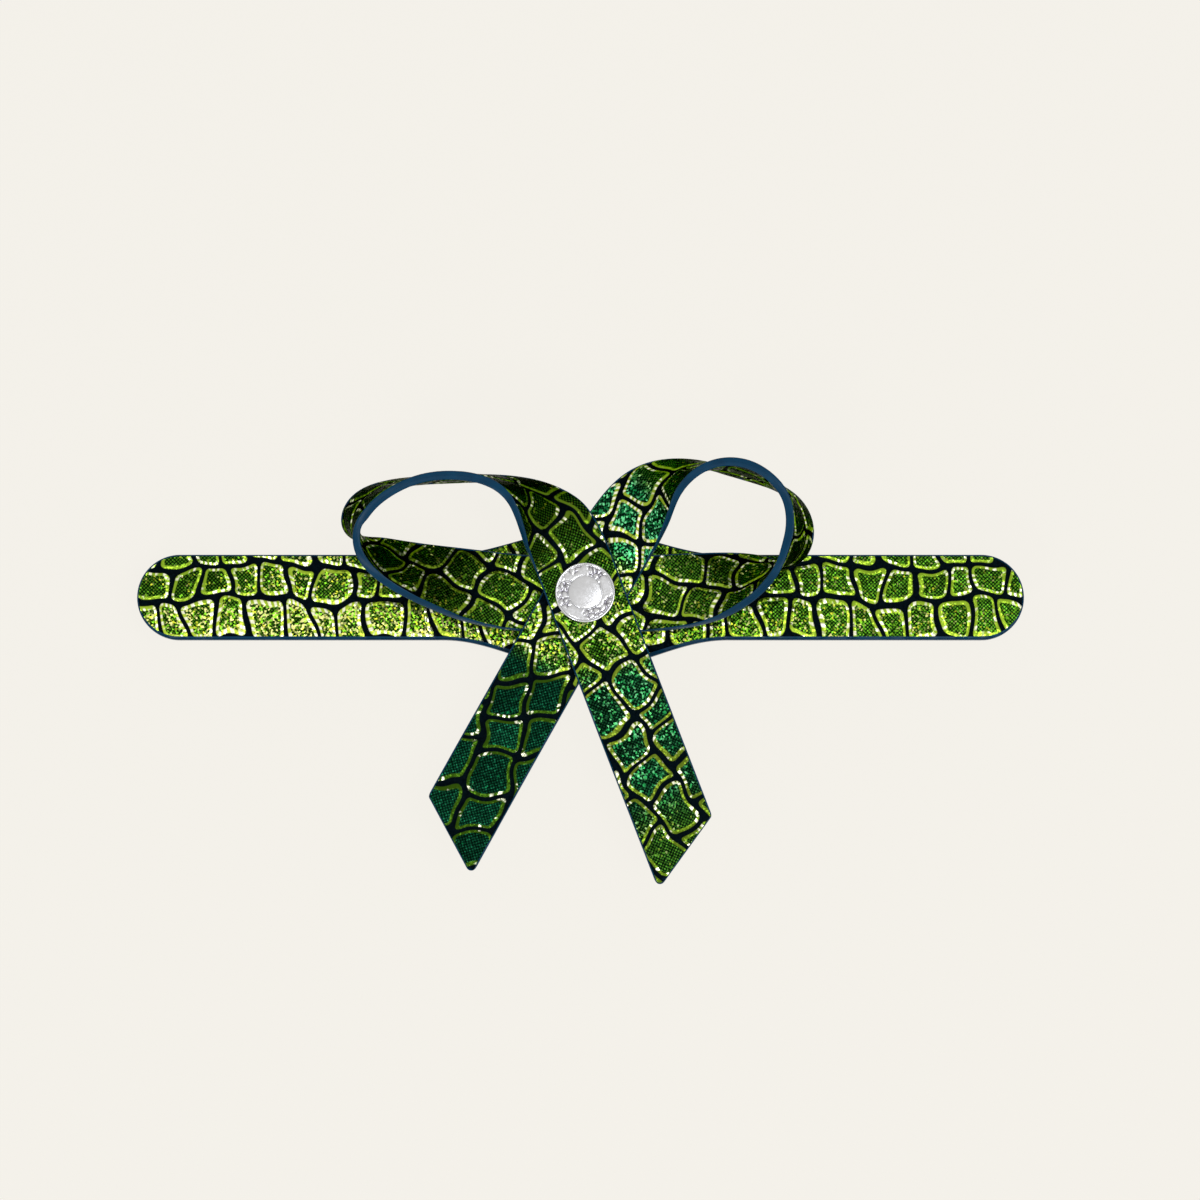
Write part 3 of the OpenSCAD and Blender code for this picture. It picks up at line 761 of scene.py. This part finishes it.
bm = bmesh.new()
profile = [(0, cap_top_z)]
profile += [(disc_r * f, cap_top_z - 0.12 * f ** 2) for f in np.linspace(0.12, 0.9, 10)]
profile += [(disc_r - disc_edge_r + disc_edge_r * math.sin(a),
             cap_top_z - 0.37 + disc_edge_r * math.cos(a))
            for a in np.radians([10, 30, 50, 70, 90])]
profile += [(r, ring_z) for r in np.linspace(disc_r + 0.03, cap_r - 0.5, 15)]
profile += [(cap_r - rim_r + rim_r * math.cos(a), cap_top_z - disc_rise - rim_r
             + rim_r * math.sin(a)) for a in np.radians([150, 120, 90, 60, 30, 0])]
profile += [(cap_r, cap_seat_z + 0.3), (cap_r - 0.09, cap_seat_z + 0.09),
            (cap_r - 0.3, cap_seat_z), (cap_r - wall, cap_seat_z + 0.1)]
profile += [(cap_r - wall, hollow_z), (0, hollow_z)]
rail = [bm.verts.new((r, 0, z)) for r, z in profile]
edges = [bm.edges.new(pair) for pair in zip(rail, rail[1:])]
bmesh.ops.spin(bm, geom=rail + edges, cent=(0, 0, 0), axis=(0, 0, 1),
               angle=2 * math.pi, steps=round_steps, use_merge=True)
bmesh.ops.remove_doubles(bm, verts=bm.verts, dist=weld)
bmesh.ops.recalc_face_normals(bm, faces=bm.faces)

# Hammer marks in patches round the ring, about a millimetre across, with dark plating
# left between them
mark_size = 1.15
patch_size = 2.6
mark_height = 0.26
heights = []
for vert in bm.verts:
    r = math.hypot(vert.co.x, vert.co.y)
    height = 1
    if disc_r + 0.1 < r < cap_r - 0.55 and abs(vert.co.z - ring_z) < 0.01:
        near, far = noise.voronoi(vert.co / mark_size)[0][:2]
        smooth = float(smooth_step(0.05, 0.3, noise.noise(vert.co / patch_size)))
        height = min(1, 2.4 * (far - near) + smooth)
        vert.co.z += mark_height * height
    heights.append(height)
for face in bm.faces:
    face.smooth = True
bmesh.ops.scale(bm, vec=(MM, MM, MM), verts=bm.verts)
cap_mesh = bpy.data.meshes.new("snap_cap_polished")
bm.to_mesh(cap_mesh)
bm.free()
add_values(cap_mesh, "height", "FLOAT", "value", np.array(heights, dtype=float))
cap = add_object("snap_cap_polished", cap_mesh)
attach(cap, "bow")
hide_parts("snap_cap")


def plated_metal(name, light_code, dark_code, rough_low, rough_high, mark_mm, drawn=1):
    """A metal whose colour and polish drift a little, over marks of a real size.

    drawn is how many times longer the marks are along X than across it."""
    drift_mm = 6
    mark_depth = 0.006
    material = bpy.data.materials.new(name)
    tree = new_tree(material)
    place = add_node(tree, "ShaderNodeTexCoord")
    longer = add_node(tree, "ShaderNodeMapping", {}, {"Vector": place.outputs["Object"],
                                                      "Scale": (1 / drawn, 1, 1)})
    marks = add_node(tree, "ShaderNodeTexNoise", {}, {"Vector": longer.outputs[0],
                                                      "Scale": 1 / (mark_mm * MM),
                                                      "Detail": 3})
    drift = add_node(tree, "ShaderNodeTexNoise", {}, {"Vector": place.outputs["Object"],
                                                      "Scale": 1 / (drift_mm * MM),
                                                      "Detail": 2})
    tone = add_node(tree, "ShaderNodeMix", {"data_type": "RGBA"},
                    {0: drift.outputs[0], 6: srgb(dark_code), 7: srgb(light_code)})
    rough = add_node(tree, "ShaderNodeMapRange", {}, {"Value": marks.outputs[0],
                                                      "From Min": 0.3, "From Max": 0.7,
                                                      "To Min": rough_low,
                                                      "To Max": rough_high})
    dents = add_node(tree, "ShaderNodeBump", {}, {"Height": marks.outputs[0],
                                                  "Strength": 0.15,
                                                  "Distance": mark_depth * MM})
    metal = add_node(tree, "ShaderNodeBsdfPrincipled", {},
                     {"Base Color": tone.outputs[2], "Metallic": 1.0,
                      "Roughness": rough.outputs[0], "Normal": dents.outputs[0]})
    add_node(tree, "ShaderNodeOutputMaterial", {}, {"Surface": metal.outputs[0]})
    return material


def refinish(material, *nodes):
    """Gives CAD nodes their real finish."""
    for node in nodes:
        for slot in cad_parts[node].material_slots:
            slot.material = material


# Polished nickel, darkened and buffed: bright where the wheel reached, with grey left
# low down between the hammer marks.
polished_nickel = plated_metal("buffed_nickel_plate", "D6D8DE", "BEC0C6", 0.14, 0.24, 0.4)
tree = polished_nickel.node_tree
metal = tree.nodes["Principled BSDF"]
height = add_node(tree, "ShaderNodeAttribute", {"attribute_name": "height"})
buffed = add_node(tree, "ShaderNodeMapRange", {}, {"Value": height.outputs["Fac"],
                                                   "From Min": 0.1, "From Max": 0.75})
tone = add_node(tree, "ShaderNodeMix", {"data_type": "RGBA"},
                {0: buffed.outputs[0], 6: srgb("6E6C76"),
                 7: metal.inputs["Base Color"].links[0].from_socket})
tree.links.new(tone.outputs[2], metal.inputs["Base Color"])
cap_mesh.materials.append(polished_nickel)

# ---------------------------------------------------------------- press stud
# Turned and stamped brass fittings, nickel plated, riveted through the leathers. The
# stud's waist snaps into a ring of phosphor bronze wire inside the socket.
barrel_nickel = plated_metal("barrel_plated_nickel", "CCCAC6", "BAB8B5", 0.22, 0.32, 0.3)
refinish(barrel_nickel, "cap_post", "snap_socket", "snap_stud", "stud_eyelet")
drawn_bronze = plated_metal("drawn_phosphor_bronze", "C8935A", "A87240", 0.25, 0.4, 0.2)
refinish(drawn_bronze, "snap_ring_spring")

# ---------------------------------------------------------------- stiffener
# Pressed leather board between the two straps, tan, with short fibres through it, four
# times as long along the strap as across it.
fibre_size = 0.3

leather_board = bpy.data.materials.new("pressed_leather_board")
tree = new_tree(leather_board)
place = add_node(tree, "ShaderNodeTexCoord")
stretch = add_node(tree, "ShaderNodeMapping", {}, {"Vector": place.outputs["Object"],
                                                   "Scale": (0.25, 1, 1)})
fibres = add_node(tree, "ShaderNodeTexNoise", {}, {"Vector": stretch.outputs[0],
                                                   "Scale": 1 / (fibre_size * MM),
                                                   "Detail": 4})
tan = add_node(tree, "ShaderNodeMix", {"data_type": "RGBA"},
               {0: fibres.outputs[0], 6: srgb("8A6B48"), 7: srgb("B9976C")})
board_bsdf = add_node(tree, "ShaderNodeBsdfPrincipled", {}, {"Base Color": tan.outputs[2],
                                                             "Roughness": 0.85})
add_node(tree, "ShaderNodeOutputMaterial", {}, {"Surface": board_bsdf.outputs[0]})
refinish(leather_board, "base_strap_core")

# ---------------------------------------------------------------- alligator clip
# Two pressed arms of sheet steel, nickel plated in a barrel, which leaves them satin
# with eased edges. They turn on a riveted pin, and rivets hold the upper one to the strap.
clip_nickel = plated_metal("barrel_plated_sheet_steel", "D2D2D3", "C2C3C4", 0.22, 0.3, 0.3, 12)
refinish(clip_nickel, "clip_rivets", "clip_pivot_pin")
edge_ease = 0.14
flat_within = math.radians(1)
sharp_from = math.radians(35)


def eased_copy(node, name, body, material):
    """Stands a copy of a CAD solid in its place, its sharp edges rounded as by plating."""
    bm = bmesh.new()
    bm.from_mesh(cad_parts[node].data)
    bmesh.ops.remove_doubles(bm, verts=bm.verts, dist=weld * MM)
    bmesh.ops.dissolve_limit(bm, angle_limit=flat_within, verts=bm.verts, edges=bm.edges)
    sharp = [edge for edge in bm.edges
             if edge.is_manifold and edge.calc_face_angle() > sharp_from]
    bmesh.ops.bevel(bm, geom=sharp, affect="EDGES", offset=edge_ease * MM, segments=2,
                    profile=0.5, clamp_overlap=True, material=-1)
    for face in bm.faces:
        face.smooth = True
    mesh = bpy.data.meshes.new(name)
    bm.to_mesh(mesh)
    bm.free()
    mesh.set_sharp_from_angle(angle=math.radians(40))
    mesh.materials.clear()
    mesh.materials.append(material)
    piece = add_object(name, mesh)
    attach(piece, body)
    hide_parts(node)


eased_copy("clip_upper_arm", "clip_upper_arm_eased", "base", clip_nickel)
eased_copy("clip_lower_jaw", "clip_lower_jaw_eased", "jaw", clip_nickel)

# ---------------------------------------------------------------- clip spring
# Hard drawn steel wire, wound round the pin, with one leg under the upper arm and one
# on the lower jaw. In the clip that leg goes down with the jaw and the coil winds up;
# here the wire is made in one resting shape and is not tied to the jaw.
spring_low, spring_high = [np.array(corner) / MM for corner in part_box("clip_spring")]
pin_low, pin_high = [np.array(corner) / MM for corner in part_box("clip_pivot_pin")]
pivot_x = (pin_low[0] + pin_high[0]) / 2
pivot_z = (pin_low[2] + pin_high[2]) / 2
wire_r = 0.45
wire_gap = 0.05
coil_r = 2.1
coil_turns = 3
leg_reach = 11
low_leg = (leg_reach, spring_low[2] + wire_r - pivot_z)
high_leg = (leg_reach, spring_high[2] - wire_r - pivot_z)
low_turn = math.atan2(low_leg[1], low_leg[0]) - math.acos(coil_r / math.hypot(*low_leg))
high_turn = (math.atan2(high_leg[1], high_leg[0]) + math.acos(coil_r / math.hypot(*high_leg))
             - 2 * math.pi * coil_turns)
coil_half = (2 * wire_r + wire_gap) * (low_turn - high_turn) / (4 * math.pi)
turn = np.linspace(low_turn, high_turn, 24 * coil_turns + 1)
wire = [(low_leg[0], -coil_half, low_leg[1])]
wire += [(coil_r * math.cos(a), y, coil_r * math.sin(a))
         for a, y in zip(turn, np.linspace(-coil_half, coil_half, len(turn)))]
wire += [(high_leg[0], coil_half, high_leg[1])]

wire_curve = bpy.data.curves.new("spring_wire", "CURVE")
wire_curve.dimensions = "3D"
wire_curve.bevel_depth = wire_r * MM
wire_curve.bevel_resolution = 4
wire_curve.use_fill_caps = True
spline = wire_curve.splines.new("POLY")
spline.points.add(len(wire) - 1)
for point, (x, y, z) in zip(spline.points, wire):
    point.co = ((pivot_x + x) * MM, y * MM, (pivot_z + z) * MM, 1)
wire_path = bpy.data.objects.new("spring_wire", wire_curve)
spring_mesh = bpy.data.meshes.new_from_object(wire_path)
bpy.data.objects.remove(wire_path)
bm = bmesh.new()
bm.from_mesh(spring_mesh)
bmesh.ops.remove_doubles(bm, verts=bm.verts, dist=weld * MM)
bmesh.ops.recalc_face_normals(bm, faces=bm.faces)
for face in bm.faces:
    face.smooth = True
bm.to_mesh(spring_mesh)
bm.free()
spring_mesh.set_sharp_from_angle(angle=math.radians(50))
spring_mesh.materials.clear()
spring_mesh.materials.append(
    plated_metal("hard_drawn_steel_wire", "9C9EA2", "7A7C80", 0.3, 0.42, 0.15))
spring = add_object("clip_spring_wire", spring_mesh)
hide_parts("clip_spring")
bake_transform(spring)

size = {"cad": [list(corner) for corner in cad_box],
        "visual": [list(corner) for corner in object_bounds()]}
